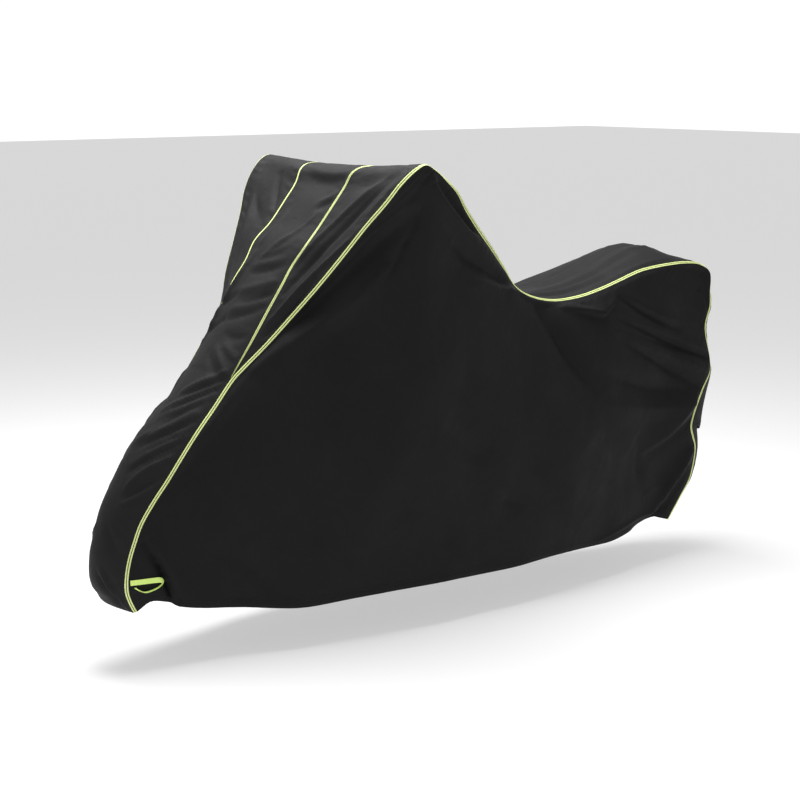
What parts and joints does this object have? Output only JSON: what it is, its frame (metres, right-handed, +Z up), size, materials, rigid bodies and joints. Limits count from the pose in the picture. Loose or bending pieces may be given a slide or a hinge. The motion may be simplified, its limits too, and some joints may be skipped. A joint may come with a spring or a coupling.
{
  "type": "motorcycle cover",
  "caption": "Fitted dark cloth cover for a motorcycle, hanging in its draped shape, with light piping along its seams and a webbing loop low on the nose.",
  "frame": {"origin": "just under the top of the crest, midway between the two peaks, where what is covered holds the cover up", "axes": "+X to the side with the webbing loop, +Y from the nose to the tail, +Z up"},
  "size_m": [0.6862, 2.0852, 1.1179],
  "materials": {
    "side_cloth": "coated woven polyester, soft sheen",
    "centre_cloth": "coated woven polyester, soft sheen",
    "piping": "lime reflective piping with a grey centre line",
    "webbing": "green woven webbing"
  },
  "bodies": {
    "root": {"side_panel_left": "side_cloth", "gusset_left": "centre_cloth", "piping_main_left": "piping", "piping_branch_left": "piping", "side_panel_right": "side_cloth", "gusset_right": "centre_cloth", "piping_main_right": "piping", "piping_branch_right": "piping", "front_panel": "centre_cloth", "top_panel": "centre_cloth", "webbing_loop": "webbing"}
  },
  "joints": []
}
